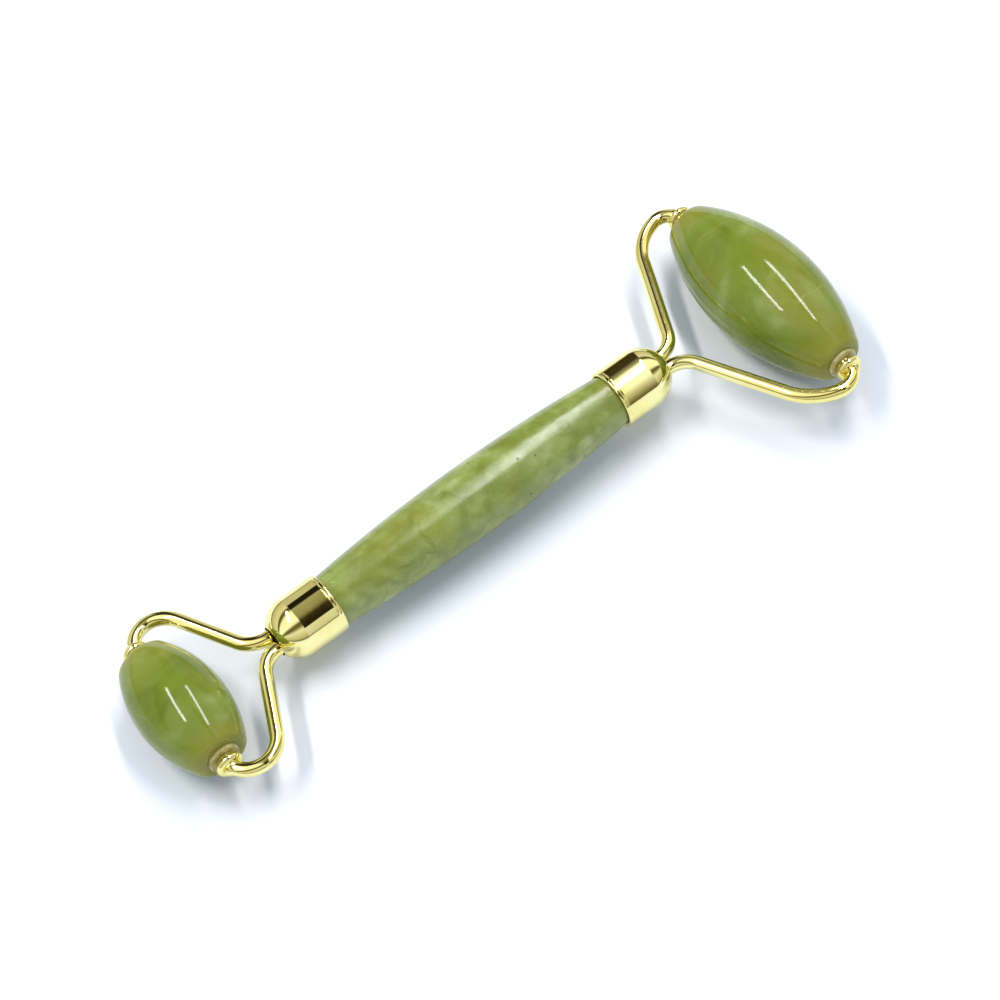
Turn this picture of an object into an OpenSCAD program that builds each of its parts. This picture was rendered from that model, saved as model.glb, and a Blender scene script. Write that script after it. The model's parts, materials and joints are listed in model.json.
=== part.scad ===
// Double-ended stone face roller, lying at rest on its two rollers.
// +X runs along the handle towards the large roller, both axles run along Y, +Z is up,
// and the surface that the roller lies on is z = 0. Millimetres.

/* [Grip] */
// Length of grip stone that shows between the two ferrules
grip_length = 61; // [50:0.5:80]
// Diameter of the grip at its middle
grip_mid_d = 12.7; // [10.2:0.1:14]
// Diameter of the grip where it enters a ferrule
grip_end_d = 9.7; // [9.1:0.1:10]
// Depth that each end of the grip goes into its ferrule
tenon_length = 4.6; // [3:0.1:4.8]

/* [Ferrules] */
// Length of a ferrule from its open rim to its nose
ferrule_length = 11.6; // [11.4:0.1:14]
// Wall thickness of a ferrule
ferrule_wall = 0.65; // [0.4:0.05:0.8]
// Diameter of the hole in the nose that lets both wire legs out
nose_hole_d = 5.6; // [5.5:0.05:6]

/* [Yoke wires] */
// Diameter of the wire that both yokes are bent from
wire_d = 2.6; // [2.2:0.1:2.6]
// Bend radius where the legs part in front of the nose
root_bend_r = 5; // [3.5:0.5:6]
// Large yoke, distance from the handle axis out to the top of each bow
large_bow = 25.6; // [25.3:0.1:26]
// Large yoke, angle of the straight arm to the handle axis
large_arm_angle = 65; // [60:1:70]
// Large yoke, bend radius of the shoulder
large_shoulder_r = 10.8; // [8:0.2:13]
// Large yoke, bend radius of the curl that turns in to the axle
large_curl_r = 3.4; // [3:0.1:4.5]
// Small yoke, distance from the handle axis out to the top of each bow
small_bow = 17.8; // [17.2:0.1:18.4]
// Small yoke, angle of the straight arm to the handle axis
small_arm_angle = 64; // [60:1:70]
// Small yoke, bend radius of the shoulder
small_shoulder_r = 6; // [4:0.2:8]
// Small yoke, bend radius of the curl that turns in to the axle
small_curl_r = 4.6; // [4:0.1:5.5]

/* [Roller stones] */
// Large stone, length between its flat ends
large_stone_length = 42; // [41.6:0.1:42.4]
// Large stone, diameter at its middle
large_stone_d = 20; // [17:0.5:23]
// Large stone, diameter of the ends before their edge is rounded
large_end_d = 8.4; // [8.2:0.1:10]
// Small stone, length between its flat ends
small_stone_length = 24.4; // [23.4:0.1:25.4]
// Small stone, diameter at its middle
small_stone_d = 16; // [14:0.5:18]
// Small stone, diameter of the ends before their edge is rounded
small_end_d = 9.4; // [8.4:0.1:10.4]
// Radius of the rounded edge round each end
end_edge_r = 1.6; // [1:0.1:2]

/* [Axles] */
// Diameter of the journal that a roller turns on
journal_d = 2; // [1.6:0.1:2.4]
// Radial running clearance between a journal and its sleeve
running_gap = 0.05; // [0.02:0.01:0.09]
// Diameter of the rounded collar that the wire end is brazed into
collar_d = 5; // [4.6:0.1:5.4]
// Width of the rounded collar
collar_w = 1.4; // [1.2:0.05:1.5]
// Diameter of the flange on each plastic sleeve
flange_d = 5.8; // [5:0.1:6]
// Diameter of the hole drilled in each end of a roller stone
stone_hole_d = 4; // [3.4:0.1:4.4]

/* [Hidden] */
$fn = 96;

// The two heads share their modules, which take a head's number
LARGE = 0;
SMALL = 1;
// Left and right are as seen looking from the small head towards the large one
LEFT = 1;
RIGHT = -1;

// Colours of the finishes
STONE_COLOUR = [0.50, 0.57, 0.24];
GOLD_COLOUR = [0.86, 0.76, 0.36];
SLEEVE_COLOUR = [0.82, 0.84, 0.74];
CEMENT_COLOUR = [0.28, 0.25, 0.10];

// Each head's own sizes, in the order large, small
stone_length = [large_stone_length, small_stone_length];
stone_r = [large_stone_d / 2, small_stone_d / 2];
end_r = [large_end_d / 2, small_end_d / 2];
bow = [large_bow, small_bow];
arm_angle = [large_arm_angle, small_arm_angle];
shoulder_r = [large_shoulder_r, small_shoulder_r];
shoulder_angle = [14, 28];
curl_r = [large_curl_r, small_curl_r];

// Ferrule
glue_gap = 0.05;
ferrule_bore_r = grip_end_d / 2 + glue_gap;
ferrule_r = ferrule_bore_r + ferrule_wall;
nose_hole_r = nose_hole_d / 2;
dome_centre = ferrule_length - sqrt(ferrule_r * ferrule_r - nose_hole_r * nose_hole_r);
rim_r = ferrule_wall / 2;
tenon_step = 0.1;
tenon_chamfer = 0.5;
nose_x = grip_length / 2 + ferrule_length;

// Axle stack, measured out from the flat end of the stone
flange_t = 0.6;
end_play = 0.1;
shoulder_w = 0.5;
shoulder_d = 3.8;
collar_face = flange_t + end_play + shoulder_w + collar_w;
journal_r = journal_d / 2;
journal_depth = 6;
journal_chamfer = 0.3;
sleeve_depth = 7.5;
stone_hole_depth = 8;
seat_gap = 0.02;
flange_edge_r = 0.25;

// Wire: the loop inside the ferrule is wider than the nose hole, so it can't pull out
leg_gap = 0.2;
leg_v = wire_d / 2 + leg_gap / 2;
loop_r = 2.2;
neck_r = 1.6;
neck_angle = acos((leg_v + neck_r) / (loop_r + neck_r));
leg_inside = 0.6;
leg_outside = 0.3;
// The straight tip crosses the collar's outer face, part of it outside and part in the socket
tip_outside = 1;
tip_inside = 0.4;
braze_gap = 0.02;
// Every other step of the wire is this much thicker in radius, and the thin steps lap into it
step_swell = 0.01;
step_lap = 0.1;

// Distance from the handle axis to the outer face of a collar
function collar_v(h) = stone_length[h] / 2 + collar_face;
// Angle past the top of the bow at which the curl ends and the straight tip starts.
// The curl and the tip together come in from the top of the bow to the collar's face.
function curl_angle(h) =
    asin((bow[h] - collar_v(h) - curl_r[h]) / norm([curl_r[h], tip_outside]))
    + atan2(curl_r[h], tip_outside);
// Length of the straight arm, from the rise that the bends leave over
function arm_length(h) =
    let (
        root_rise = root_bend_r * (1 - cos(arm_angle[h])),
        shoulder_rise = shoulder_r[h] * (cos(shoulder_angle[h]) - cos(arm_angle[h])),
        curl_rise = curl_r[h] * (1 - cos(shoulder_angle[h]))
    )
    (bow[h] - leg_v - root_rise - shoulder_rise - curl_rise) / sin(arm_angle[h]);
// Distance from the nose of the ferrule to the axle
function reach(h) =
    leg_outside
    + root_bend_r * sin(arm_angle[h])
    + arm_length(h) * cos(arm_angle[h])
    + shoulder_r[h] * (sin(arm_angle[h]) - sin(shoulder_angle[h]))
    + curl_r[h] * (sin(shoulder_angle[h]) + sin(curl_angle(h)))
    + tip_outside * cos(curl_angle(h));

// At rest both rollers touch the surface, so the handle tilts up to the large one
axle_x = [nose_x + reach(LARGE), -nose_x - reach(SMALL)];
tilt = asin((stone_r[LARGE] - stone_r[SMALL]) / (axle_x[LARGE] - axle_x[SMALL]));
lift = stone_r[LARGE] - axle_x[LARGE] * sin(tilt);
front_x = axle_x[LARGE] * cos(tilt) + stone_r[LARGE];
rear_x = axle_x[SMALL] * cos(tilt) - stone_r[SMALL];
centre_shift = -(front_x + rear_x) / 2;

// From the handle's own frame, with the handle axis on X, to the pose at rest
module at_rest() {
    translate([centre_shift, 0, lift])
        rotate([0, -tilt, 0])
            children();
}

// From a head's frame, with u outwards from the nose along X, to the handle's frame
module at_head(h) {
    rotate([0, 0, h == LARGE ? 0 : 180])
        translate([nose_x, 0, 0])
            children();
}

// Turns a shape that points along Z to point along Y, out to the left or the right
module out_along_axle(h, side) {
    translate([axle_x[h], 0, 0])
        rotate([-90 * side, 0, 0])
            children();
}

// Half outline of a barrel with flat ends: one long arc, and a small arc at each edge
module barrel_outline(length, mid_r, flat_r, edge_r) {
    sag = mid_r - flat_r;
    arc_r = (length * length / 4 + sag * sag) / (2 * sag);
    edge_z = length / 2 - edge_r;
    edge_x = sqrt(pow(arc_r - edge_r, 2) - edge_z * edge_z) - (arc_r - mid_r);
    tangent_z = edge_z * arc_r / (arc_r - edge_r);
    intersection() {
        translate([mid_r - arc_r, 0])
            circle(r = arc_r, $fn = 720);
        translate([0, -tangent_z])
            square([mid_r, 2 * tangent_z]);
    }
    translate([0, -length / 2])
        square([edge_x, length]);
    for (end = [-1, 1])
        intersection() {
            translate([edge_x, end * edge_z])
                circle(r = edge_r);
            translate([edge_x - 0.1, end > 0 ? edge_z : -length / 2])
                square([edge_r + 0.1, edge_r]);
        }
}

module grip_stone() {
    sag = (grip_mid_d - grip_end_d) / 2;
    arc_r = (grip_length * grip_length / 4 + sag * sag) / (2 * sag);
    tenon_r = grip_end_d / 2 - tenon_step;
    color(STONE_COLOUR)
        rotate([0, 90, 0])
            union() {
                rotate_extrude()
                    intersection() {
                        translate([grip_mid_d / 2 - arc_r, 0])
                            circle(r = arc_r, $fn = 1440);
                        translate([0, -grip_length / 2])
                            square([grip_mid_d, grip_length]);
                    }
                for (end = [0, 180])
                    rotate([end, 0, 0])
                        translate([0, 0, grip_length / 2]) {
                            cylinder(r = tenon_r, h = tenon_length - tenon_chamfer);
                            translate([0, 0, tenon_length - tenon_chamfer])
                                cylinder(r1 = tenon_r, r2 = tenon_r - tenon_chamfer, h = tenon_chamfer);
                        }
            }
}

// Outline of the space that a thimble of this radius takes up, from z_start to its dome
module thimble_outline(r, z_start) {
    translate([0, z_start])
        square([r, dome_centre - z_start]);
    intersection() {
        translate([0, dome_centre])
            circle(r = r, $fn = 180);
        translate([0, dome_centre])
            square([r, r]);
    }
}

module ferrule(h) {
    color(GOLD_COLOUR)
        rotate([0, h == LARGE ? 90 : -90, 0])
            translate([0, 0, grip_length / 2])
                rotate_extrude() {
                    difference() {
                        thimble_outline(ferrule_r, rim_r);
                        thimble_outline(ferrule_bore_r, 0);
                        square([nose_hole_r, ferrule_length + 1]);
                    }
                    translate([ferrule_bore_r + rim_r, rim_r])
                        circle(r = rim_r);
                }
}

// Cured cement that fills the dome round the wire loop
module ferrule_cement(h) {
    dome_reach = sqrt(pow(ferrule_bore_r - glue_gap, 2) - nose_hole_r * nose_hole_r);
    color(CEMENT_COLOUR)
        difference() {
            rotate([0, h == LARGE ? 90 : -90, 0])
                translate([0, 0, grip_length / 2])
                    rotate_extrude()
                        intersection() {
                            thimble_outline(ferrule_bore_r - glue_gap, tenon_length + glue_gap);
                            square([ferrule_r, dome_centre + dome_reach]);
                        }
            loop_wire(h);
        }
}

// A bend is [radius, turn] with a left turn positive, and a straight is [length, 0]
function neck_steps() = [
    [neck_r, neck_angle],
    [leg_inside + leg_outside, 0]
];
function arm_steps(h) = [
    [root_bend_r, arm_angle[h]],
    [arm_length(h), 0],
    [shoulder_r[h], shoulder_angle[h] - arm_angle[h]],
    [curl_r[h], -shoulder_angle[h] - curl_angle(h)],
    [tip_outside + tip_inside, 0]
];
function reversed(list) = [for (i = [len(list) - 1:-1:0]) list[i]];
function loop_steps() = concat(
    reversed(neck_steps()),
    [[loop_r, -180 - 2 * neck_angle]],
    neck_steps()
);
function yoke_steps(h) = concat(reversed(arm_steps(h)), loop_steps(), arm_steps(h));

// Pose of the wire, as [u, v, heading], after one step
function step_on(p, s) =
    s[1] == 0
    ? [p[0] + s[0] * cos(p[2]), p[1] + s[0] * sin(p[2]), p[2]]
    : let (side = sign(s[1]), heading = p[2] + s[1])
        [
            p[0] + side * s[0] * (sin(heading) - sin(p[2])),
            p[1] - side * s[0] * (cos(heading) - cos(p[2])),
            heading
        ];

// A bend of the wire, drawn on past both its ends by a short lap
module bend(r, turn, section_r, lap) {
    lap_angle = lap / r * 180 / PI;
    rotate([0, 0, (turn > 0 ? -90 : 90 + turn) - lap_angle])
        rotate_extrude(angle = abs(turn) + 2 * lap_angle)
            translate([r, 0])
                circle(r = section_r, $fn = 32);
}

module wire_from(pose, steps, gap, i = 0) {
    thick = i % 2 == 1;
    section_r = wire_d / 2 + gap + (thick ? step_swell : 0);
    lap = thick ? 0 : step_lap;
    if (i < len(steps)) {
        translate([pose[0], pose[1], 0])
            rotate([0, 0, pose[2]])
                if (steps[i][1] == 0)
                    translate([-lap, 0, 0])
                        rotate([0, 90, 0])
                            cylinder(r = section_r, h = steps[i][0] + 2 * lap, $fn = 32);
                else
                    translate([0, sign(steps[i][1]) * steps[i][0], 0])
                        bend(steps[i][0], steps[i][1], section_r, lap);
        wire_from(step_on(pose, steps[i]), steps, gap, i + 1);
    }
}

// Pose of the end of the wire in the socket on the -v side, facing back along the wire
function tip_pose(h) = [
    reach(h) + tip_inside * cos(curl_angle(h)),
    -collar_v(h) + tip_inside * sin(curl_angle(h)),
    180 + curl_angle(h)
];

// One wire from tip to tip: in to the loop along one arm and out along the other
module yoke_wire(h) {
    at_head(h)
        wire_from(tip_pose(h), yoke_steps(h), 0);
}

// The stretch of the wire inside the ferrule, with room for a bond line round it
module loop_wire(h) {
    at_head(h)
        wire_from([leg_outside, -leg_v, 180], loop_steps(), braze_gap);
}

// The hole in a collar that takes the wire's straight tip
module tip_socket(h, side) {
    at_head(h)
        mirror([0, side == (h == LARGE ? LEFT : RIGHT) ? 1 : 0, 0])
            wire_from(tip_pose(h), [[tip_inside + tip_outside, 0]], braze_gap);
}

module yoke(h) {
    color(GOLD_COLOUR)
        yoke_wire(h);
}

// Journal, thrust shoulder and rounded collar in one turned piece, seated on the wire end
module axle_pin(h, side) {
    journal_end = journal_depth - journal_chamfer;
    collar_z = collar_face - collar_w;
    color(GOLD_COLOUR)
        difference() {
            out_along_axle(h, side)
                translate([0, 0, stone_length[h] / 2]) {
                    translate([0, 0, -journal_depth])
                        cylinder(r1 = journal_r - journal_chamfer, r2 = journal_r, h = journal_chamfer);
                    translate([0, 0, -journal_end])
                        cylinder(r = journal_r, h = journal_end + flange_t + end_play);
                    translate([0, 0, flange_t + end_play])
                        cylinder(d = shoulder_d, h = shoulder_w);
                    translate([0, 0, collar_z])
                        rotate_extrude() {
                            square([(collar_d - collar_w) / 2, collar_w]);
                            translate([(collar_d - collar_w) / 2, collar_w / 2])
                                circle(d = collar_w);
                        }
                }
            tip_socket(h, side);
        }
}

module roller_stone(h) {
    color(STONE_COLOUR)
        difference() {
            translate([axle_x[h], 0, 0])
                rotate([90, 0, 0])
                    rotate_extrude()
                        barrel_outline(stone_length[h], stone_r[h], end_r[h], end_edge_r);
            for (side = [LEFT, RIGHT])
                out_along_axle(h, side)
                    translate([0, 0, stone_length[h] / 2 - stone_hole_depth])
                        cylinder(d = stone_hole_d, h = stone_hole_depth + 1);
        }
}

// Flanged plastic sleeve that lines one end of a stone and runs on the journal
module sleeve(h, side) {
    color(SLEEVE_COLOUR)
        out_along_axle(h, side)
            translate([0, 0, stone_length[h] / 2])
                difference() {
                    union() {
                        translate([0, 0, -sleeve_depth])
                            cylinder(d = stone_hole_d - 2 * seat_gap, h = sleeve_depth);
                        cylinder(d = flange_d, h = flange_t - flange_edge_r);
                        rotate_extrude()
                            translate([0, flange_t - flange_edge_r]) {
                                square([flange_d / 2 - flange_edge_r, flange_edge_r]);
                                intersection() {
                                    translate([flange_d / 2 - flange_edge_r, 0])
                                        circle(r = flange_edge_r);
                                    square([flange_d / 2, flange_edge_r]);
                                }
                            }
                    }
                    translate([0, 0, -sleeve_depth - 1])
                        cylinder(r = journal_r + running_gap, h = sleeve_depth + 2);
                }
}

at_rest() grip_stone();
at_rest() ferrule(LARGE);  // large_ferrule
at_rest() ferrule(SMALL);  // small_ferrule
at_rest() ferrule_cement(LARGE);  // large_ferrule_cement
at_rest() ferrule_cement(SMALL);  // small_ferrule_cement
at_rest() yoke(LARGE);  // large_yoke
at_rest() yoke(SMALL);  // small_yoke
at_rest() axle_pin(LARGE, LEFT);  // large_left_pin
at_rest() axle_pin(LARGE, RIGHT);  // large_right_pin
at_rest() axle_pin(SMALL, LEFT);  // small_left_pin
at_rest() axle_pin(SMALL, RIGHT);  // small_right_pin
at_rest() roller_stone(LARGE);  // large_roller_stone
at_rest() roller_stone(SMALL);  // small_roller_stone
at_rest() sleeve(LARGE, LEFT);  // large_left_sleeve
at_rest() sleeve(LARGE, RIGHT);  // large_right_sleeve
at_rest() sleeve(SMALL, LEFT);  // small_left_sleeve
at_rest() sleeve(SMALL, RIGHT);  // small_right_sleeve
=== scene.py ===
# %% [markdown]
# A double-ended stone face roller
#
# The tool is a barrel of pale marbled stone with a gold cap on each end. A bent wire fork
# comes out of each cap and holds a polished stone roller between its two tips: a large one
# for cheeks and forehead, and a small one for round the eyes.
# The mechanical model comes first and stays fixed. Every piece made below takes the place
# of one of its solids, with finer curves and a real finish.

# %% Load the mechanical model
import json
import math

import bmesh
import bpy
from mathutils import Matrix, Vector


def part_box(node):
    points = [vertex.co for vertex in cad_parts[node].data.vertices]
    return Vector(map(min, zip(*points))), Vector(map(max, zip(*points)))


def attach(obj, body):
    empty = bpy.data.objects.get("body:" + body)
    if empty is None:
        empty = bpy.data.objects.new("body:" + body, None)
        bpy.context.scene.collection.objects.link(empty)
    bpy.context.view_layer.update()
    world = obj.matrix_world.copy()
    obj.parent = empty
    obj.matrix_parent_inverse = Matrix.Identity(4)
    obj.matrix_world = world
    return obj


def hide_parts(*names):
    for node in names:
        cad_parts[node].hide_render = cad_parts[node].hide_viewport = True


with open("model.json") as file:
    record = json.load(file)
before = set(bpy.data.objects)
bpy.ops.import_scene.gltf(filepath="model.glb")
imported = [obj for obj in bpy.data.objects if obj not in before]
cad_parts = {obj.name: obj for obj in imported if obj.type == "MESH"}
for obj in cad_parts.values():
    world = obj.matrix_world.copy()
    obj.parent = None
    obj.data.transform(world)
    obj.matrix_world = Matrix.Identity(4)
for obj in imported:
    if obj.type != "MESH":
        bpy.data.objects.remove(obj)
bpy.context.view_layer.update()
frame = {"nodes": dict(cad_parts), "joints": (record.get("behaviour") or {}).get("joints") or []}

MM = 0.001

# %% [markdown]
# Where everything sits
#
# The two rollers lie on the table and differ in diameter, so the handle slopes by about
# one degree. The record states each axle's place, and the line from the small axle to the
# large one is the handle's own axis. Everything on the handle is made straight, in the
# handle's frame, and laid along that line at the end.

# %% Axles, handle axis and heads
HEADS = ("large", "small")
SIDES = {"left": 1, "right": -1}
joint_place = {joint["name"]: Vector(joint["pos_m"]) for joint in frame["joints"]}
axle = {h: joint_place[h + "_roller_spin"] for h in HEADS}
handle_axis = (axle["large"] - axle["small"]).normalized()
across = Vector((0, 1, 0))
handle_turn = Matrix((handle_axis, across, handle_axis.cross(across))).transposed().to_4x4()
print("handle slope, degrees:", round(math.degrees(math.asin(handle_axis.z)), 3))


def box_size(node):
    low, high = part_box(node)
    return high - low


STONE_LENGTH = {h: box_size(h + "_roller_stone").y / MM for h in HEADS}
STONE_R = {h: box_size(h + "_roller_stone").z / MM / 2 for h in HEADS}
print("stones, mm:", {h: (round(STONE_LENGTH[h], 2), round(2 * STONE_R[h], 2)) for h in HEADS})

# %% [markdown]
# Camera
#
# A long lens from above and to the left of the handle, rolled a little so that the tool
# lies along the diagonal.

# %% Camera
CAMERA_LENS_MM = 102.75
CAMERA_DISTANCE = 0.48809
CAMERA_AIM = Vector((0.424, -3.244, 9.0)) * MM
CAMERA_AZIMUTH = math.radians(-28.15)
CAMERA_ELEVATION = math.radians(55.157)
CAMERA_ROLL = math.radians(-11.562)

camera_back = Vector((
    math.sin(CAMERA_AZIMUTH) * math.cos(CAMERA_ELEVATION),
    -math.cos(CAMERA_AZIMUTH) * math.cos(CAMERA_ELEVATION),
    math.sin(CAMERA_ELEVATION),
))
level_right = Vector((0, 0, 1)).cross(camera_back).normalized()
camera_turn = Matrix((level_right, camera_back.cross(level_right), camera_back)).transposed()
camera_data = bpy.data.cameras.new("camera")
camera_data.lens = CAMERA_LENS_MM
camera_data.sensor_width = 36
camera = bpy.data.objects.new("camera", camera_data)
bpy.context.scene.collection.objects.link(camera)
camera.matrix_world = (
    Matrix.Translation(CAMERA_AIM + camera_back * CAMERA_DISTANCE)
    @ camera_turn.to_4x4()
    @ Matrix.Rotation(CAMERA_ROLL, 4, "Z")
)
bpy.context.scene.camera = camera
print("camera at, mm:", [round(v / MM, 1) for v in camera.matrix_world.translation])

# %% [markdown]
# Turning a piece on the lathe
#
# Most of the tool is round: both stones, the grip, the caps, the axle pins and their
# bushes. Each is an outline of (distance along the axis, radius) spun once round. A full
# spin with its ends merged leaves no seam, and merging the points on the axis closes the
# poles. Normals are recalculated last, because the spin may turn the shape inside out.

# %% Lathe helpers
TURNS = 128
SHARP_CORNER = math.radians(32)


def arc(along, radius, r, start, stop, steps):
    """Points of an arc. Its angle is 0 straight out from the axis and 90 along it."""
    angles = [math.radians(start + (stop - start) * i / steps) for i in range(steps + 1)]
    return [(along + r * math.sin(a), radius + r * math.cos(a)) for a in angles]


def finish_mesh(bm, name, place):
    """Close, point outwards, lay in place and shade one finished piece."""
    bmesh.ops.remove_doubles(bm, verts=bm.verts, dist=0.0005)
    bmesh.ops.dissolve_degenerate(bm, edges=bm.edges, dist=0.0005)
    bmesh.ops.recalc_face_normals(bm, faces=bm.faces)
    bmesh.ops.scale(bm, vec=(MM, MM, MM), verts=bm.verts)
    bmesh.ops.transform(bm, matrix=place, verts=bm.verts)
    mesh = bpy.data.meshes.new(name)
    bm.to_mesh(mesh)
    bm.free()
    mesh.shade_smooth()
    mesh.set_sharp_from_angle(angle=SHARP_CORNER)
    piece = bpy.data.objects.new(name, mesh)
    bpy.context.scene.collection.objects.link(piece)
    return piece


def turned(name, outline, place, closed=False):
    """Spin an outline, in millimetres, once round the local Z axis."""
    bm = bmesh.new()
    points = [bm.verts.new((radius, 0, along)) for along, radius in outline]
    line = [bm.edges.new(pair) for pair in zip(points, points[1:])]
    if closed:
        line.append(bm.edges.new((points[-1], points[0])))
    bmesh.ops.spin(
        bm, geom=points + line, cent=(0, 0, 0), axis=(0, 0, 1),
        angle=2 * math.pi, steps=TURNS, use_merge=True,
    )
    return finish_mesh(bm, name, place)


# %% [markdown]
# Putting a piece in the place of its solid
#
# A new piece moves with the same body as the solid that it stands for, and the solid is
# hidden. The printed figure is the most that the piece's box differs from the solid's box,
# so a wrong size shows at once.

# %% Stand-in helper
def stand_for(piece, node, body):
    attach(piece, body)
    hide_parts(node)
    low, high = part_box(node)
    corners = [v.co for v in piece.data.vertices]
    off = max(
        max(abs(min(c[i] for c in corners) - low[i]), abs(max(c[i] for c in corners) - high[i]))
        for i in range(3)
    )
    print(f"{piece.name}: {len(piece.data.polygons)} faces, box off by {off / MM:.3f} mm")


# %% [markdown]
# The yoke's bends
#
# Each yoke is one gold-plated wire. It starts in an axle collar, curls over the bow, comes
# down the arm, goes round a loop inside the cap and back out the same way on the other
# side. A wire bender sets it as a list of straights and bends, and so does this cell:
# [radius, turn] for a bend with left turns positive, and [length, 0] for a straight.

# %% Wire and bend sizes, mm and degrees
WIRE_R = 1.3
LEG_OFFSET = 1.4
LEG_INSIDE = 0.6
LEG_OUTSIDE = 0.3
ROOT_BEND_R = 5
LOOP_R = 2.2
NECK_R = 1.6
NECK_ANGLE = math.degrees(math.acos((LEG_OFFSET + NECK_R) / (LOOP_R + NECK_R)))
TIP_OUTSIDE = 1
TIP_INSIDE = 0.4
FLANGE_T = 0.6
END_PLAY = 0.1
SHOULDER_W = 0.5
COLLAR_W = 1.4
COLLAR_FACE = FLANGE_T + END_PLAY + SHOULDER_W + COLLAR_W

BOW = {"large": 25.6, "small": 17.8}
ARM_ANGLE = {"large": 65, "small": 64}
SHOULDER_R = {"large": 10.8, "small": 6}
SHOULDER_ANGLE = {"large": 14, "small": 28}
CURL_R = {"large": 3.4, "small": 4.6}


def sin(degrees):
    return math.sin(math.radians(degrees))


def cos(degrees):
    return math.cos(math.radians(degrees))


def collar_out(h):
    return STONE_LENGTH[h] / 2 + COLLAR_FACE


def curl_angle(h):
    drop = BOW[h] - collar_out(h) - CURL_R[h]
    swing = math.hypot(CURL_R[h], TIP_OUTSIDE)
    return math.degrees(math.asin(drop / swing) + math.atan2(CURL_R[h], TIP_OUTSIDE))


def arm_length(h):
    root_rise = ROOT_BEND_R * (1 - cos(ARM_ANGLE[h]))
    shoulder_rise = SHOULDER_R[h] * (cos(SHOULDER_ANGLE[h]) - cos(ARM_ANGLE[h]))
    curl_rise = CURL_R[h] * (1 - cos(SHOULDER_ANGLE[h]))
    return (BOW[h] - LEG_OFFSET - root_rise - shoulder_rise - curl_rise) / sin(ARM_ANGLE[h])


def reach(h):
    """Distance from the nose of the cap to the axle."""
    return (
        LEG_OUTSIDE
        + ROOT_BEND_R * sin(ARM_ANGLE[h])
        + arm_length(h) * cos(ARM_ANGLE[h])
        + SHOULDER_R[h] * (sin(ARM_ANGLE[h]) - sin(SHOULDER_ANGLE[h]))
        + CURL_R[h] * (sin(SHOULDER_ANGLE[h]) + sin(curl_angle(h)))
        + TIP_OUTSIDE * cos(curl_angle(h))
    )


print("wire turns at the tips, degrees:", {h: round(curl_angle(h), 1) for h in HEADS})

# %% [markdown]
# Placing the heads
#
# The reach of each yoke fixes how far its axle stands from the nose of its cap. The axles
# are known, so the noses are found by going back along the handle's axis.

# %% Noses and heads
nose = {
    "large": axle["large"] - handle_axis * reach("large") * MM,
    "small": axle["small"] + handle_axis * reach("small") * MM,
}
grip_centre = (nose["large"] + nose["small"]) / 2
handle_place = Matrix.Translation(grip_centre) @ handle_turn
HALF_TURN = Matrix.Rotation(math.pi, 4, "Z")
head_place = {
    "large": Matrix.Translation(nose["large"]) @ handle_turn,
    "small": Matrix.Translation(nose["small"]) @ handle_turn @ HALF_TURN,
}
print("reach, mm:", {h: round(reach(h), 3) for h in HEADS})

# %% [markdown]
# Bending the wire
#
# A ring of the wire's section starts at one tip. Every bend spins the newest ring about
# the bend's centre, and every straight extrudes it. The skin stays one piece from tip to
# tip, so the reflections run along it without a break, as they do on drawn wire. Just in
# front of each collar the wire swells a little: that is the braze, plated over. Its steps
# are listed as (length, size), from the plain wire to the collar.

# %% Wire bender
WIRE_SIDES = 40
BEND_STEP = 4
BRAZE_SWELL = [(0.30, 1.0), (0.30, 1.05), (0.25, 1.13), (0.15, 1.22), (TIP_INSIDE, 1.25)]


def arm_steps(h):
    return [
        [ROOT_BEND_R, ARM_ANGLE[h]],
        [arm_length(h), 0],
        [SHOULDER_R[h], SHOULDER_ANGLE[h] - ARM_ANGLE[h]],
        [CURL_R[h], -SHOULDER_ANGLE[h] - curl_angle(h)],
    ]


def yoke_steps(h):
    neck = [[NECK_R, NECK_ANGLE], [LEG_INSIDE + LEG_OUTSIDE, 0]]
    loop = [[LOOP_R, -180 - 2 * NECK_ANGLE]]
    return arm_steps(h)[::-1] + neck[::-1] + loop + neck + arm_steps(h)


def run_straight(bm, ring, at, heading, length, swell=1.0):
    """Extrude the open ring straight on, and swell the new one about its centre."""
    step = Vector((cos(heading), sin(heading), 0)) * length
    grown = bmesh.ops.extrude_edge_only(bm, edges=ring)["geom"]
    edges = [e for e in grown if isinstance(e, bmesh.types.BMEdge)]
    verts = [v for v in grown if isinstance(v, bmesh.types.BMVert)]
    bmesh.ops.translate(bm, vec=step, verts=verts)
    if swell != 1.0:
        about = Matrix.Translation(-(at + step))
        bmesh.ops.scale(bm, vec=(swell, swell, swell), space=about, verts=verts)
    return edges, at + step


def run_bend(bm, ring, at, heading, r, turn):
    """Spin the open ring about the bend's centre."""
    side = math.copysign(1, turn)
    centre = at + Vector((-sin(heading), cos(heading), 0)) * r * side
    spun = bmesh.ops.spin(
        bm, geom=ring, cent=centre, axis=(0, 0, side), angle=math.radians(abs(turn)),
        steps=math.ceil(abs(turn) / BEND_STEP), use_merge=False,
    )
    edges = [e for e in spun["geom_last"] if isinstance(e, bmesh.types.BMEdge)]
    return edges, centre + Matrix.Rotation(math.radians(turn), 3, "Z") @ (at - centre)


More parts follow.
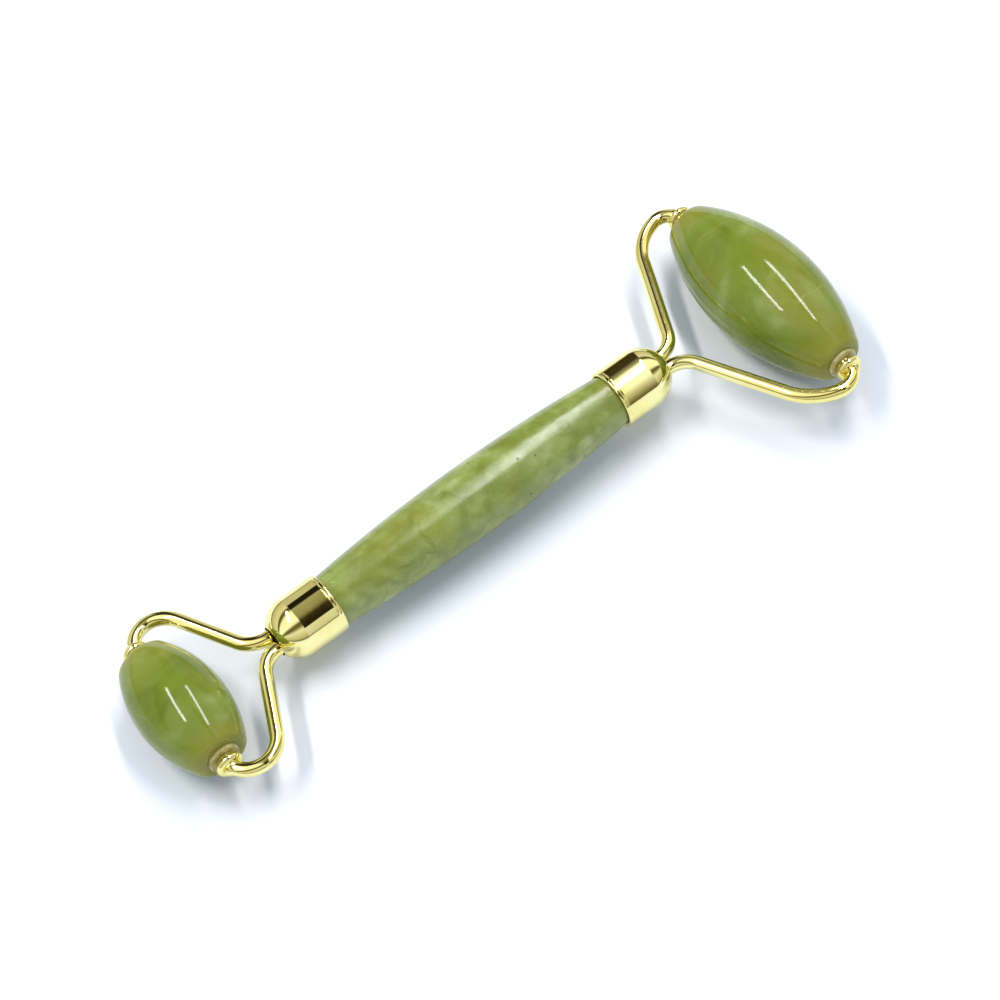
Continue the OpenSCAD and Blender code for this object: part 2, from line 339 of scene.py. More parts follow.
def bent_wire(name, h):
    heading = 180 + curl_angle(h)
    at = Vector((
        reach(h) + TIP_INSIDE * cos(curl_angle(h)),
        -collar_out(h) + TIP_INSIDE * sin(curl_angle(h)),
        0,
    ))
    bm = bmesh.new()
    section = bmesh.ops.create_circle(
        bm, cap_ends=True, segments=WIRE_SIDES, radius=WIRE_R * BRAZE_SWELL[-1][1]
    )
    facing = Matrix.Rotation(math.radians(heading), 4, "Z") @ Matrix.Rotation(math.pi / 2, 4, "Y")
    bmesh.ops.transform(bm, matrix=Matrix.Translation(at) @ facing, verts=section["verts"])
    ring = list({e for v in section["verts"] for e in v.link_edges})
    sizes = [1.0] + [size for _, size in BRAZE_SWELL]
    for i in reversed(range(len(BRAZE_SWELL))):
        ring, at = run_straight(bm, ring, at, heading, BRAZE_SWELL[i][0], sizes[i] / sizes[i + 1])
    for r, turn in yoke_steps(h):
        if turn == 0:
            ring, at = run_straight(bm, ring, at, heading, r)
        else:
            ring, at = run_bend(bm, ring, at, heading, r, turn)
            heading += turn
    for i, (length, size) in enumerate(BRAZE_SWELL):
        ring, at = run_straight(bm, ring, at, heading, length, size / sizes[i])
    bmesh.ops.contextual_create(bm, geom=ring)
    print(f"{name}: ends {abs(at.y) - collar_out(h):.3f} mm past the collar's face")
    return finish_mesh(bm, name, head_place[h])


# %% [markdown]
# Bend both yokes
#
# The piece stands for the yoke alone. The collars that its tips are brazed into are turned
# parts and come later.

# %% Yokes
yokes = {h: bent_wire(h + "_yoke_wire", h) for h in HEADS}
for h in HEADS:
    stand_for(yokes[h], h + "_yoke", "handle")

# %% [markdown]
# The grip
#
# A long shallow barrel of pale stone, thickest in the middle where the fingers hold it.
# Its ends are stepped down and glued into the caps. One flat arc draws the swell.

# %% Grip
GRIP_LENGTH = 61
GRIP_MID_R = box_size("grip_stone").y / MM / 2
GRIP_END_R = 4.85
TENON_LENGTH = 4.6
TENON_R = 4.75
TENON_CHAMFER = 0.5


def long_arc(length, mid_r, end_r, half_angle=None, steps=64):
    """The swell of a barrel, as the points of one arc."""
    sag = mid_r - end_r
    arc_r = (length * length / 4 + sag * sag) / (2 * sag)
    if half_angle is None:
        half_angle = math.degrees(math.asin(length / 2 / arc_r))
    return arc(0, mid_r - arc_r, arc_r, -half_angle, half_angle, steps)


tenon_end = GRIP_LENGTH / 2 + TENON_LENGTH
half_tenon = [
    (GRIP_LENGTH / 2, TENON_R),
    (tenon_end - TENON_CHAMFER, TENON_R),
    (tenon_end, TENON_R - TENON_CHAMFER),
    (tenon_end, 0),
]
grip_outline = (
    [(-along, radius) for along, radius in half_tenon[::-1]]
    + long_arc(GRIP_LENGTH, GRIP_MID_R, GRIP_END_R)
    + half_tenon
)
LATHE_TO_HANDLE = Matrix.Rotation(math.pi / 2, 4, "Y")
grip = turned("jade_grip", grip_outline, handle_place @ LATHE_TO_HANDLE)
stand_for(grip, "grip_stone", "handle")

# %% [markdown]
# The caps
#
# Each cap is a thin drawn ferrule: a straight band with a rolled lip where the grip goes
# in, and a round nose with a hole for the wire. The outline goes all the way round the
# wall, inside and out, so the lip and the edge of the hole have their real thickness. Two
# rings held close behind the groove keep its slope from shading the straight band, and the
# domes are trimmed a degree or two short so that the hole gets a soft edge.

# %% Ferrules
FERRULE_LENGTH = 11.6
FERRULE_R = box_size("large_ferrule").y / MM / 2
BORE_R = 4.9
NOSE_HOLE_R = 2.8
DOME_CENTRE = FERRULE_LENGTH - math.sqrt(FERRULE_R ** 2 - NOSE_HOLE_R ** 2)
LIP_R = (FERRULE_R - BORE_R) / 2
LIP_WIDTH = 0.62
GROOVE_DEPTH = 0.07
GROOVE = [(0, 0), (0.05, 0.7), (0.11, 1), (0.18, 0.6), (0.30, 0), (0.34, 0), (0.38, 0)]
OUTER_TRIM = 2.2
INNER_TRIM = 1.6

outer_stop = math.degrees(math.acos(NOSE_HOLE_R / FERRULE_R)) - OUTER_TRIM
inner_stop = math.degrees(math.acos(NOSE_HOLE_R / BORE_R)) - INNER_TRIM
groove = [(LIP_WIDTH + along, FERRULE_R - GROOVE_DEPTH * depth) for along, depth in GROOVE]
band_end = [(DOME_CENTRE - 0.1, FERRULE_R)]
outer_dome = arc(DOME_CENTRE, 0, FERRULE_R, 0, outer_stop, 36)
inner_dome = arc(DOME_CENTRE, 0, BORE_R, inner_stop, 0, 30)
hole_edge = [
    (FERRULE_LENGTH - 0.06, NOSE_HOLE_R + 0.02),
    (FERRULE_LENGTH - 0.20, NOSE_HOLE_R),
    (inner_dome[0][0] + 0.14, NOSE_HOLE_R),
]
ferrule_outline = (
    arc(LIP_R, BORE_R + LIP_R, LIP_R, -180, 0, 14)
    + groove + band_end + outer_dome + hole_edge + inner_dome
)
cap_place = {
    h: head_place[h] @ Matrix.Translation((-FERRULE_LENGTH * MM, 0, 0)) @ LATHE_TO_HANDLE
    for h in HEADS
}
ferrules = {
    h: turned(h + "_ferrule_shell", ferrule_outline, cap_place[h], closed=True) for h in HEADS
}
for h in HEADS:
    stand_for(ferrules[h], h + "_ferrule", "handle")

# %% [markdown]
# The roller stones
#
# A roller is a barrel with small flat ends and a rounded edge round each. The side is one
# arc and the edge a smaller one, tangent to it, so the polish runs over without a line. A
# blind hole in each end takes a plastic bush.

# %% Roller stones
END_R = {"large": 4.2, "small": 4.7}
END_EDGE_R = 1.6
STONE_HOLE_R = 2.0
STONE_HOLE_DEPTH = 8


def stone_outline(h):
    length, mid_r = STONE_LENGTH[h], STONE_R[h]
    sag = mid_r - END_R[h]
    arc_r = (length * length / 4 + sag * sag) / (2 * sag)
    edge_along = length / 2 - END_EDGE_R
    edge_radius = math.sqrt((arc_r - END_EDGE_R) ** 2 - edge_along ** 2) - (arc_r - mid_r)
    meet = math.degrees(math.asin(edge_along / (arc_r - END_EDGE_R)))
    side = long_arc(length, mid_r, END_R[h], half_angle=meet, steps=72)
    edge = arc(edge_along, edge_radius, END_EDGE_R, meet, 90, 16)[1:]
    hole = [
        (length / 2, STONE_HOLE_R),
        (length / 2 - STONE_HOLE_DEPTH, STONE_HOLE_R),
        (length / 2 - STONE_HOLE_DEPTH, 0),
    ]
    end = edge + hole
    return [(-along, radius) for along, radius in end[::-1]] + side + end


def axle_place(h, side=1):
    """Lathe axis along the axle, pointing out to one side."""
    return Matrix.Translation(axle[h]) @ Matrix.Rotation(-side * math.pi / 2, 4, "X")


stones = {h: turned(h + "_roller_jade", stone_outline(h), axle_place(h)) for h in HEADS}
for h in HEADS:
    stand_for(stones[h], h + "_roller_stone", h + "_roller")

# %% [markdown]
# Axle pins and bushes
#
# A pin is turned in one piece: a thin journal inside the roller, a shoulder, and a bead
# that the wire is brazed into. A flanged bush of clear plastic lines the hole in the stone
# and turns on the journal. Its flange is the pale ring between stone and gold.

# %% Pins and bushes
JOURNAL_R = 1.0
JOURNAL_DEPTH = 6
SHOULDER_OUT_R = 1.9
COLLAR_OUT_R = 2.5
FLANGE_R = box_size("large_left_sleeve").z / MM / 2
BUSH_R = 1.98
BUSH_BORE_R = 1.05
BUSH_DEPTH = 7.5
FLANGE_EDGE_R = 0.25
JOURNAL_CHAMFER = 0.3
SHOULDER_CHAMFER = 0.1
BEAD_START = -78

shoulder_at = FLANGE_T + END_PLAY
bead_at = shoulder_at + SHOULDER_W + COLLAR_W / 2
bead_r = COLLAR_W / 2
pin_outline = (
    [(-JOURNAL_DEPTH, 0), (-JOURNAL_DEPTH, JOURNAL_R - JOURNAL_CHAMFER)]
    + [(-JOURNAL_DEPTH + JOURNAL_CHAMFER, JOURNAL_R), (shoulder_at, JOURNAL_R)]
    + [(shoulder_at, SHOULDER_OUT_R - SHOULDER_CHAMFER)]
    + [(shoulder_at + SHOULDER_CHAMFER, SHOULDER_OUT_R), (shoulder_at + SHOULDER_W, SHOULDER_OUT_R)]
    + arc(bead_at, COLLAR_OUT_R - bead_r, bead_r, BEAD_START, 90, 24)
    + [(COLLAR_FACE, 0)]
)
bush_outline = (
    [(-BUSH_DEPTH, BUSH_BORE_R), (-BUSH_DEPTH, BUSH_R), (0, BUSH_R), (0, FLANGE_R)]
    + arc(FLANGE_T - FLANGE_EDGE_R, FLANGE_R - FLANGE_EDGE_R, FLANGE_EDGE_R, 0, 90, 8)
    + [(FLANGE_T, BUSH_BORE_R + 0.1), (FLANGE_T - 0.1, BUSH_BORE_R)]
)
pins, bushes = {}, {}
for h in HEADS:
    for side, sign in SIDES.items():
        stone_end = Matrix.Translation((0, 0, STONE_LENGTH[h] / 2 * MM))
        place = axle_place(h, sign) @ stone_end
        pins[h, side] = turned(f"{h}_{side}_axle_pin", pin_outline, place)
        bushes[h, side] = turned(f"{h}_{side}_bush", bush_outline, place, closed=True)
        stand_for(pins[h, side], f"{h}_{side}_pin", "handle")
        stand_for(bushes[h, side], f"{h}_{side}_sleeve", h + "_roller")

# %% [markdown]
# Node helpers
#
# A finish is a small network of nodes. These helpers add a node, set or link its inputs in
# one line, and return the socket that comes out, so that a finish reads from top to bottom
# like a recipe. Every pattern is read at a place on the piece itself, in metres, so it stays
# on the stone when the roller turns.

# %% Node helpers
def feed(tree, value, socket):
    """Link one socket to another, or set a plain value on it."""
    if isinstance(value, bpy.types.NodeSocket):
        tree.links.new(value, socket)
    elif socket.type == "RGBA" and len(value) == 3:
        socket.default_value = (*value, 1)
    else:
        socket.default_value = value


def set_inputs(tree, node, **values):
    for key, value in values.items():
        feed(tree, value, node.inputs[key.replace("_", " ")])


def add_node(tree, kind, **settings):
    """Add a node. A setting is one of its properties, or a value or a link for an input."""
    node = tree.nodes.new(kind)
    for key, value in settings.items():
        if hasattr(node, key):
            setattr(node, key, value)
        else:
            set_inputs(tree, node, **{key: value})
    return node


def calculate(tree, operation, *values, vector=False):
    node = add_node(tree, "ShaderNodeVectorMath" if vector else "ShaderNodeMath", operation=operation)
    for value, socket in zip(values, node.inputs):
        feed(tree, value, socket)
    return node.outputs[0]


def noise(tree, place, **settings):
    return add_node(tree, "ShaderNodeTexNoise", Vector=place, **settings).outputs["Fac"]


def spread(tree, value, low, high, start=0.0, end=1.0, smooth=False):
    """Stretch a value that runs from start to end so that it runs from low to high."""
    node = add_node(
        tree, "ShaderNodeMapRange", interpolation_type="SMOOTHSTEP" if smooth else "LINEAR",
        Value=value, From_Min=start, From_Max=end, To_Min=low, To_Max=high,
    )
    return node.outputs[0]


def ramp(tree, value, stops, interpolation="EASE"):
    """Read a value through a colour ramp. A stop is (position, grey) or (position, colour)."""
    node = tree.nodes.new("ShaderNodeValToRGB")
    node.color_ramp.interpolation = interpolation
    elements = node.color_ramp.elements
    while len(elements) < len(stops):
        elements.new(0.5)
    for element, (position, colour) in zip(elements, stops):
        element.position = position
        element.color = (*colour, 1) if isinstance(colour, tuple) else (colour, colour, colour, 1)
    feed(tree, value, node.inputs[0])
    return node.outputs[0]


def blend(tree, share, under, over):
    """Mix two colours. A colour mix has its share on socket 0, its colours on 6 and 7."""
    node = add_node(tree, "ShaderNodeMix", data_type="RGBA")
    for value, at in ((share, 0), (under, 6), (over, 7)):
        feed(tree, value, node.inputs[at])
    return node.outputs[2]


# %% [markdown]
# Groups and materials
#
# A pattern that more than one finish uses is a node group, built once with named inputs and
# outputs. The shader itself stays in each material.

# %% Group and material helpers
def new_group(name, inputs, outputs):
    """A node group with named sockets: each is (name, kind, default value)."""
    tree = bpy.data.node_groups.new(name, "ShaderNodeTree")
    for direction, sockets in (("INPUT", inputs), ("OUTPUT", outputs)):
        for socket_name, kind, default in sockets:
            socket = tree.interface.new_socket(
                socket_name, in_out=direction, socket_type="NodeSocket" + kind
            )
            if default is not None:
                socket.default_value = default
    return tree, tree.nodes.new("NodeGroupInput").outputs, tree.nodes.new("NodeGroupOutput")


def use_group(tree, group, **values):
    node = tree.nodes.new("ShaderNodeGroup")
    node.node_tree = group
    set_inputs(tree, node, **values)
    return node.outputs


def new_material(name):
    """A material, its node tree and its shader."""
    material = bpy.data.materials.new(name)
    material.use_nodes = True
    tree = material.node_tree
    return material, tree, tree.nodes["Principled BSDF"]


def place_on_piece(tree):
    return tree.nodes.new("ShaderNodeTexCoord").outputs["Object"]


def give(pieces, material):
    for piece in pieces:
        piece.data.materials.append(material)
    print(f"{material.name}: on {len(pieces)} pieces")


# %% [markdown]
# Clouds in the stone
#
# This jade is a soft green stone full of clouds: paler where it is dense, darker and
# clearer where it isn't, with a yellow cast in places. Two sizes of noise added together
# make the clouds, a third places the yellow, and a fourth, much finer, is the grain. Rollers
# and grip share the group with their own colours and sizes.

# %% Cloud noises
WISP_SIZE = 3.1
WISP_SHARE = 0.34
WARM_SIZE = 0.8
WARM_SHIFT = (0.31, 0.17, 0.23)
GRAIN_SCALE = 1400.0

cloud_group, cloud_in, cloud_out = new_group(
    "stone clouds",
    [
        ("Place", "Vector", None), ("Size", "Float", 90.0),
        ("Deep", "Color", (0.1, 0.14, 0.02, 1)), ("Body", "Color", (0.2, 0.25, 0.05, 1)),
        ("Cloud", "Color", (0.35, 0.4, 0.14, 1)), ("Warm", "Color", (0.3, 0.28, 0.04, 1)),
        ("Grain", "Float", 0.1),
    ],
    [("Colour", "Color", None)],
)
place, size = cloud_in["Place"], cloud_in["Size"]
broad = noise(cloud_group, place, Scale=size, Detail=3.0, Roughness=0.5, Distortion=0.9)
wisp_size = calculate(cloud_group, "MULTIPLY", size, WISP_SIZE)
wisps = noise(cloud_group, place, Scale=wisp_size, Detail=5.0, Roughness=0.58, Distortion=0.5)
broad_part = calculate(cloud_group, "MULTIPLY", broad, 1 - WISP_SHARE)
density = calculate(cloud_group, "MULTIPLY_ADD", wisps, WISP_SHARE, broad_part)
shifted = calculate(cloud_group, "ADD", place, WARM_SHIFT, vector=True)
warm_size = calculate(cloud_group, "MULTIPLY", size, WARM_SIZE)
warmth = noise(cloud_group, shifted, Scale=warm_size, Detail=2.0, Roughness=0.5, Distortion=0.6)
grain = noise(cloud_group, place, Scale=GRAIN_SCALE, Detail=3.0, Roughness=0.6)
print("stone clouds:", len(cloud_group.nodes), "nodes so far")

# %% [markdown]
# Colouring the clouds
#
# The density runs from the deep colour through the body colour to the pale clouds. The
# yellow cast and the grain go over that. Ramps set how soft each change is.

# %% Cloud colours
body_share = ramp(cloud_group, density, [(0.36, 0.0), (0.50, 1.0)])
cloud_share = ramp(cloud_group, density, [(0.50, 0.0), (0.64, 1.0)])
warm_share = ramp(cloud_group, warmth, [(0.50, 0.0), (0.66, 0.75)])
grain_share = ramp(cloud_group, grain, [(0.35, 0.0), (0.65, 1.0)])
grain_share = calculate(cloud_group, "MULTIPLY", grain_share, cloud_in["Grain"])
colour = blend(cloud_group, body_share, cloud_in["Deep"], cloud_in["Body"])
colour = blend(cloud_group, cloud_share, colour, cloud_in["Cloud"])
colour = blend(cloud_group, warm_share, colour, cloud_in["Warm"])
colour = blend(cloud_group, grain_share, colour, cloud_in["Cloud"])
set_inputs(cloud_group, cloud_out, Colour=colour)
print("stone clouds:", len(cloud_group.nodes), "nodes")

# %% [markdown]
# Veins and specks
#
# Veins are old cracks that healed with darker or yellower mineral. The cell walls of a
# Voronoi pattern, bent by noise, give a net of thin lines, and a second noise rubs most of
# the net out so that only stretches of it are left. Specks are tiny black grains, few and
# far between.

# %% Vein and speck group
VEIN_WANDER = (0.008, 0.008, 0.008)
VEIN_FADE = 0.12

vein_group, vein_in, vein_out = new_group(
    "stone veins",
    [
        ("Place", "Vector", None), ("Size", "Float", 150.0),
        ("Width", "Float", 0.05), ("Cover", "Float", 0.5),
    ],
    [("Veins", "Float", None), ("Specks", "Float", None)],
)
place, cover = vein_in["Place"], vein_in["Cover"]
wander = add_node(
    vein_group, "ShaderNodeTexNoise", Vector=place, Scale=150.0, Detail=1.5, Roughness=0.45
)
wander = calculate(vein_group, "SUBTRACT", wander.outputs["Color"], (0.5, 0.5, 0.5), vector=True)
bent = calculate(vein_group, "MULTIPLY_ADD", wander, VEIN_WANDER, place, vector=True)
net = add_node(
    vein_group, "ShaderNodeTexVoronoi", feature="DISTANCE_TO_EDGE", Vector=bent, Scale=vein_in["Size"]
)
lines = spread(vein_group, net.outputs["Distance"], 1.0, 0.0, end=vein_in["Width"], smooth=True)
rubbed = noise(vein_group, place, Scale=110.0, Detail=2.0)
cover_end = calculate(vein_group, "ADD", cover, VEIN_FADE)
kept = spread(vein_group, rubbed, 0.0, 1.0, start=cover, end=cover_end, smooth=True)
dots = add_node(vein_group, "ShaderNodeTexVoronoi", feature="F1", Vector=place, Scale=210.0)
specks = ramp(vein_group, dots.outputs["Distance"], [(0.045, 1.0), (0.075, 0.0)], "LINEAR")
set_inputs(vein_group, vein_out, Veins=calculate(vein_group, "MULTIPLY", lines, kept), Specks=specks)
print("stone veins:", len(vein_group.nodes), "nodes")

# %% [markdown]
# Polished jade
#
# The light goes a few millimetres into the stone before it comes back, so the material
# scatters below its surface and shadows on it stay soft. The rollers are polished like
# glass. The grip is paler and less even, and its polish is a little broken, so its
# highlight looks grainy.

# %% Jade materials
SCATTER_RADIUS = (1.0, 1.25, 0.35)
SCATTER_DEPTH = 0.0025
POLISH_SCALE = 2600.0
POLISH_DEPTH = 0.00003
SPECK_COLOUR = (0.02, 0.022, 0.01)
PAINTED_WARM_FROM = 0.66
PAINTED_WARM_STRENGTH = 0.75


def lay_over(tree, under, amount, strength, colour):
    """Paint a colour over another where a mask is on."""
    return blend(tree, calculate(tree, "MULTIPLY", amount, strength), under, colour)


def jade(name, shift, clouds, vein_sets, specks, gloss_range, ripple, shine, painted_warm_ends=None):
    """Jade from its clouds, its sets of veins, its specks and its polish."""
    material, tree, surface = new_material(name)
    here = place_on_piece(tree)
    place = add_node(tree, "ShaderNodeMapping", Vector=here, Location=shift).outputs[0]
    colour = use_group(tree, cloud_group, Place=place, **clouds)["Colour"]
    for size, width, cover, strength, vein_colour in vein_sets:
        cracks = use_group(tree, vein_group, Place=place, Size=size, Width=width, Cover=cover)
        colour = lay_over(tree, colour, cracks["Veins"], strength, vein_colour)
    if specks:
        colour = lay_over(tree, colour, cracks["Specks"], specks, SPECK_COLOUR)
    # Painted reflection: the ends of a roller are coloured warmer, for light that comes back off the
    # gold pin inside.
    if painted_warm_ends:
        half_length, painted_end_colour = painted_warm_ends
        along = add_node(tree, "ShaderNodeSeparateXYZ", Vector=here).outputs["Y"]
        out = calculate(tree, "ABSOLUTE", along)
        painted_end_share = spread(tree, out, 0.0, 1.0, half_length * PAINTED_WARM_FROM, half_length, smooth=True)
        colour = lay_over(tree, colour, painted_end_share, PAINTED_WARM_STRENGTH, painted_end_colour)
    polish = noise(tree, here, Scale=POLISH_SCALE, Detail=3.0, Roughness=0.7)
    bump = add_node(tree, "ShaderNodeBump", Strength=ripple, Distance=POLISH_DEPTH, Height=polish)
    set_inputs(
        tree, surface, Base_Color=colour, Roughness=spread(tree, polish, *gloss_range),
        Normal=bump.outputs["Normal"], Subsurface_Weight=0.5, Subsurface_Radius=SCATTER_RADIUS,
        Subsurface_Scale=SCATTER_DEPTH, IOR=1.55, Specular_IOR_Level=shine,
    )
    return material


# %% [markdown]
# Roller jade
#
# The rollers are cut from the darker, more even stone. Light that enters their thin drilled
# ends comes back off the gold pin inside, so the ends look warmer than the middle. That
# warmth is a painted reflection, laid into the stone's colour.

# %% Roller jade
ROLLER_SHIFT = (0.013, 0.004, 0.020)
ROLLER_CLOUDS = {
    "Size": 46.0, "Grain": 0.05, "Deep": (0.118, 0.152, 0.012), "Body": (0.176, 0.216, 0.022),
    "Cloud": (0.275, 0.325, 0.088), "Warm": (0.225, 0.225, 0.022),
}
ROLLER_VEINS = [(55.0, 0.012, 0.52, 0.5, (0.36, 0.33, 0.09))]
ROLLER_GLOSS = (0.05, 0.09)
ROLLER_RIPPLE = 0.10
ROLLER_SHINE = 0.22
# Colour of the painted reflection at the roller ends.
PAINTED_WARM_END = (0.27, 0.24, 0.035)
for h in HEADS:
    finish = jade(
        h + "_roller_finish", ROLLER_SHIFT, ROLLER_CLOUDS, ROLLER_VEINS, 0, ROLLER_GLOSS,
        ROLLER_RIPPLE, ROLLER_SHINE, (STONE_LENGTH[h] / 2 * MM, PAINTED_WARM_END),
    )
    give([stones[h]], finish)

# %% [markdown]
# Grip jade
#
# The grip is cut from paler, marbled stone. Broad soft veins part it into pale blocks, a
# second set of hair-thin dark ones runs through them, and there are a few black specks.

# %% Grip jade
GRIP_CLOUDS = {
    "Size": 95.0, "Grain": 0.16, "Deep": (0.190, 0.225, 0.028), "Body": (0.265, 0.310, 0.068),
    "Cloud": (0.385, 0.430, 0.165), "Warm": (0.245, 0.262, 0.026),
}
GRIP_VEINS = [
    (135.0, 0.24, 0.30, 0.50, (0.155, 0.176, 0.016)),
    (150.0, 0.050, 0.48, 0.40, (0.095, 0.108, 0.014)),
]
GRIP_SPECKS = 0.9
GRIP_GLOSS = (0.07, 0.20)
GRIP_RIPPLE = 1.2
GRIP_SHINE = 0.5
grip_finish = jade(
    "grip_finish", (0, 0, 0), GRIP_CLOUDS, GRIP_VEINS, GRIP_SPECKS, GRIP_GLOSS, GRIP_RIPPLE, GRIP_SHINE
)
give([grip], grip_finish)

# %% [markdown]
# Pale gold plate
#
# The caps, wires and pins are plated in a pale lemon gold and buffed. What makes the metal
# is what it mirrors, so the plate stays almost plain: a very slight drift of colour, a
# faint waviness from drawing and buffing, and a breath of haze.

# %% Gold plate
plate_group, plate_in, plate_out = new_group(
    "buffed plate",
    [
        ("Place", "Vector", None), ("Thin", "Color", (0.9, 0.8, 0.4, 1)),
        ("Thick", "Color", (0.9, 0.8, 0.4, 1)),
    ],
    [("Colour", "Color", None), ("Haze", "Float", None), ("Wave", "Float", None)],
)
place = plate_in["Place"]
drift = noise(plate_group, place, Scale=160.0, Detail=2.0)
drift = ramp(plate_group, drift, [(0.4, 0.0), (0.62, 1.0)])
haze = noise(plate_group, place, Scale=900.0, Detail=4.0, Roughness=0.65)
set_inputs(
    plate_group, plate_out,
    Colour=blend(plate_group, drift, plate_in["Thin"], plate_in["Thick"]),
    Haze=spread(plate_group, haze, 0.045, 0.11, 0.35, 0.75),
    Wave=noise(plate_group, place, Scale=420.0, Detail=2.0),
)
WAVE_DEPTH = 0.00004


def gold_plate(name, thin, thick, waviness):
    material, tree, surface = new_material(name)
    plate = use_group(tree, plate_group, Place=place_on_piece(tree), Thin=thin, Thick=thick)
    bump = add_node(tree, "ShaderNodeBump", Strength=waviness, Distance=WAVE_DEPTH, Height=plate["Wave"])
    set_inputs(
        tree, surface, Base_Color=plate["Colour"], Roughness=plate["Haze"],
        Normal=bump.outputs["Normal"], Metallic=1.0,
    )
    return material


give(ferrules.values(), gold_plate("cap_gold", (0.92, 0.86, 0.40), (0.88, 0.79, 0.32), 0.22))
wire_gold = gold_plate("wire_gold", (0.92, 0.86, 0.39), (0.88, 0.78, 0.30), 0.30)
give([*yokes.values(), *pins.values()], wire_gold)

# %% [markdown]
# Bush plastic
#
# The bushes are moulded in a cloudy clear plastic that lets a little light through. Its warm
# tan is painted in: partly the plastic's own tint, partly painted reflection of the gold and
# stone beside it.

# %% Bush plastic
bush_plastic, tree, surface = new_material("bush_plastic")
flow = noise(tree, place_on_piece(tree), Scale=700.0, Detail=3.0)
# The tan base colour is partly the plastic's own tint and partly painted reflection.
set_inputs(
    tree, surface, Roughness=spread(tree, flow, 0.10, 0.22), Transmission_Weight=0.25, IOR=1.5,
    Base_Color=ramp(tree, flow, [(0.35, (0.48, 0.39, 0.11)), (0.7, (0.74, 0.66, 0.30))]),
)
give(bushes.values(), bush_plastic)

# %% [markdown]
# Nose cement
#
# The cement shows only deep in the nose of each cap. Its near-black colour is partly the
# resin's own dark amber and partly painted shade, for the shadow inside the hole. Its solid
# is good enough as it is, so it keeps its shape and only gets a finish, with the lumps that
# resin sets in.

# %% Nose cement
nose_cement, tree, surface = new_material("nose_cement")
lumps = noise(tree, place_on_piece(tree), Scale=900.0, Detail=5.0, Roughness=0.6)
bump = add_node(tree, "ShaderNodeBump", Strength=0.5, Distance=0.0001, Height=lumps)
# Painted shade: a near-black base colour for the shadow deep in the cap's nose.
set_inputs(
    tree, surface, Roughness=0.28, Normal=bump.outputs["Normal"],
    Base_Color=ramp(tree, lumps, [(0.35, (0.045, 0.037, 0.004)), (0.7, (0.12, 0.10, 0.016))]),
)
cements = [frame["nodes"][h + "_ferrule_cement"] for h in HEADS]
for cement in cements:
    cement.data.materials.clear()
give(cements, nose_cement)

# %% [markdown]
# Table
#
# The tool lies on a plain white table, one flat square far larger than the view, so no edge
# of it shows.

# %% Table
TABLE_HALF = 6.0
bm = bmesh.new()
bmesh.ops.create_grid(bm, x_segments=1, y_segments=1, size=TABLE_HALF)
table_mesh = bpy.data.meshes.new("table")
bm.to_mesh(table_mesh)
bm.free()
table = bpy.data.objects.new("table", table_mesh)
bpy.context.scene.collection.objects.link(table)
table_white, tree, surface = new_material("table_white")
set_inputs(tree, surface, Base_Color=(0.80, 0.80, 0.80), Roughness=0.85, Specular_IOR_Level=0.1)
give([table], table_white)

# %% [markdown]
# Strip lights
#
# Two long strip lights hang over the table. They give the soft shadows, and they draw the
# twin white lines down each roller. A polished barrel shows a lamp as a thin line, so the
# strips are placed and angled to put both lines where they belong.

# %% Strip lights
STRIP_HEIGHT = 1.2
STRIP_WIDTH = 0.11
STRIP_POWER = 8.6
STRIP_ENDS = {
    "strip_left": ((-0.225, 0.760), (-0.590, -0.017)),
    "strip_right": ((0.646, 0.640), (0.319, -0.300)),
}
for name, ((x0, y0), (x1, y1)) in STRIP_ENDS.items():
    light = bpy.data.lights.new(name, "AREA")
    light.shape = "RECTANGLE"
    light.size = STRIP_WIDTH
    light.size_y = math.hypot(x1 - x0, y1 - y0)
    light.energy = STRIP_POWER
    lamp = bpy.data.objects.new(name, light)
    bpy.context.scene.collection.objects.link(lamp)
    lamp.location = ((x0 + x1) / 2, (y0 + y1) / 2, STRIP_HEIGHT)
    lamp.rotation_euler = (0, 0, math.atan2(y1 - y0, x1 - x0) - math.pi / 2)
    print(f"{name}: {light.size_y:.3f} m long")

# %% [markdown]
# What the gold mirrors
#
# Metal lit evenly from everywhere looks like plastic. Real gold plate shows the room: a
# white diffuser, the dark shape of the maker and the gaps between. Each list below is a
# slice of that room, from low behind the tool, over the top, to low in front of it. The
# large cap mirrors the slice with the diffuser and the small cap the one with the maker,
# while the wires mirror the rest of the room.

# %% Slices of the room
OVER_THE_DIFFUSER = [
    (0.00, (0.30, 0.20, 0.08)), (0.05, (0.04, 0.03, 0.01)), (0.25, (0.05, 0.04, 0.02)),
    (0.36, (0.38, 0.38, 0.34)), (0.41, (1.40, 1.40, 1.40)), (0.68, (1.25, 1.27, 1.25)),
    (0.80, (0.70, 0.70, 0.66)), (0.93, (0.26, 0.24, 0.14)), (1.00, (0.10, 0.09, 0.04)),
]
OVER_THE_MAKER = [
    (0.00, (0.10, 0.09, 0.03)), (0.04, (0.60, 0.59, 0.50)), (0.205, (0.62, 0.61, 0.50)),
    (0.22, (0.012, 0.010, 0.004)), (0.335, (0.015, 0.012, 0.004)), (0.36, (0.42, 0.40, 0.28)),
    (0.54, (0.30, 0.27, 0.14)), (0.64, (0.040, 0.028, 0.010)), (0.795, (0.010, 0.008, 0.003)),
    (0.81, (0.85, 0.86, 0.84)), (0.97, (0.70, 0.71, 0.68)), (1.00, (0.04, 0.035, 0.01)),
]
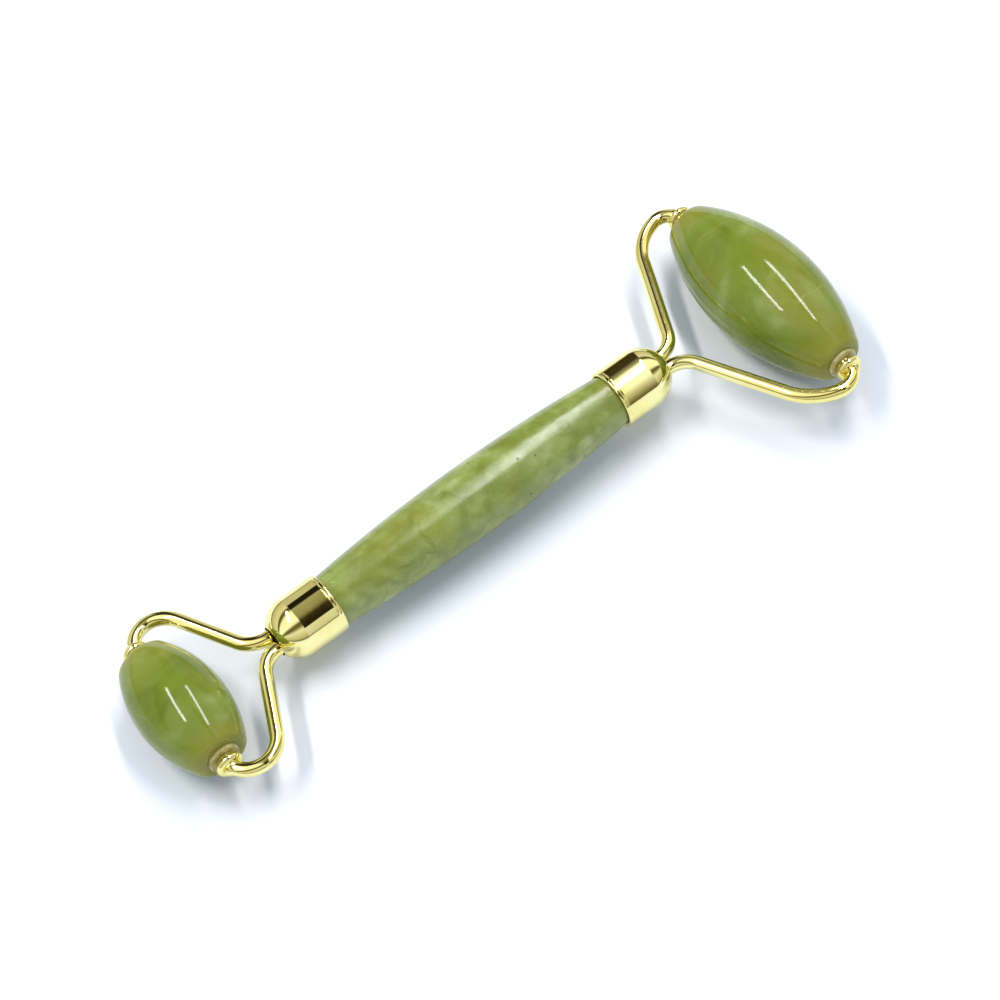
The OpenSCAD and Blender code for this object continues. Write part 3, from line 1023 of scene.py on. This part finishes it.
OVER_THE_ROOM = [
    (0.00, (0.12, 0.10, 0.03)), (0.05, (0.60, 0.58, 0.44)), (0.24, (0.85, 0.84, 0.74)),
    (0.28, (0.10, 0.08, 0.02)), (0.33, (0.16, 0.14, 0.06)), (0.38, (1.15, 1.15, 1.10)),
    (0.60, (1.10, 1.10, 1.04)), (0.66, (0.12, 0.10, 0.04)), (0.72, (0.20, 0.17, 0.08)),
    (0.79, (0.90, 0.89, 0.80)), (0.95, (0.55, 0.52, 0.36)), (1.00, (0.08, 0.07, 0.02)),
]
MAKER_TO_DIFFUSER = (0.23, 0.29)
BENCH_EDGES = [(0.04, 0.0), (0.10, 1.0), (0.42, 1.0), (0.50, 0.0)]
print("stops in the slices:", [len(s) for s in (OVER_THE_DIFFUSER, OVER_THE_MAKER, OVER_THE_ROOM)])

# %% [markdown]
# Soft surround
#
# The surround does three jobs. Polished surfaces mirror the room's slices, the view past
# the table is plain white, and everything else gets a soft, slightly blue fill that shows
# in the shadows. The kind of ray tells them apart.

# %% Soft surround
FILL = (0.56, 0.65, 0.83)
WHITE = (1, 1, 1)

world = bpy.data.worlds.new("studio")
world.use_nodes = True
bpy.context.scene.world = world
tree = world.node_tree
tree.nodes.remove(tree.nodes["Background"])
direction = tree.nodes.new("ShaderNodeTexCoord").outputs["Generated"]
parts = add_node(tree, "ShaderNodeSeparateXYZ", Vector=direction).outputs
sweep = calculate(tree, "ARCTAN2", parts["Z"], parts["Y"])
sweep = spread(tree, sweep, 0.0, 1.0, end=math.pi)
diffuser, maker, room = (
    ramp(tree, sweep, stops, "LINEAR") for stops in (OVER_THE_DIFFUSER, OVER_THE_MAKER, OVER_THE_ROOM)
)
side = spread(tree, parts["X"], 0.0, 1.0, *MAKER_TO_DIFFUSER, smooth=True)
bench = ramp(tree, parts["X"], BENCH_EDGES)
studio = blend(tree, bench, room, blend(tree, side, maker, diffuser))


def surround_light(colour):
    return add_node(tree, "ShaderNodeBackground", Color=colour).outputs[0]


def either(switch, off, on):
    node = tree.nodes.new("ShaderNodeMixShader")
    for value, socket in zip((switch, off, on), node.inputs):
        feed(tree, value, socket)
    return node.outputs[0]


ray = tree.nodes.new("ShaderNodeLightPath").outputs
unseen = either(ray["Is Glossy Ray"], surround_light(FILL), surround_light(studio))
shown = either(ray["Is Camera Ray"], unseen, surround_light(WHITE))
feed(tree, shown, tree.nodes["World Output"].inputs["Surface"])
bpy.context.scene.view_settings.view_transform = "Standard"
print("surround:", len(tree.nodes), "nodes")
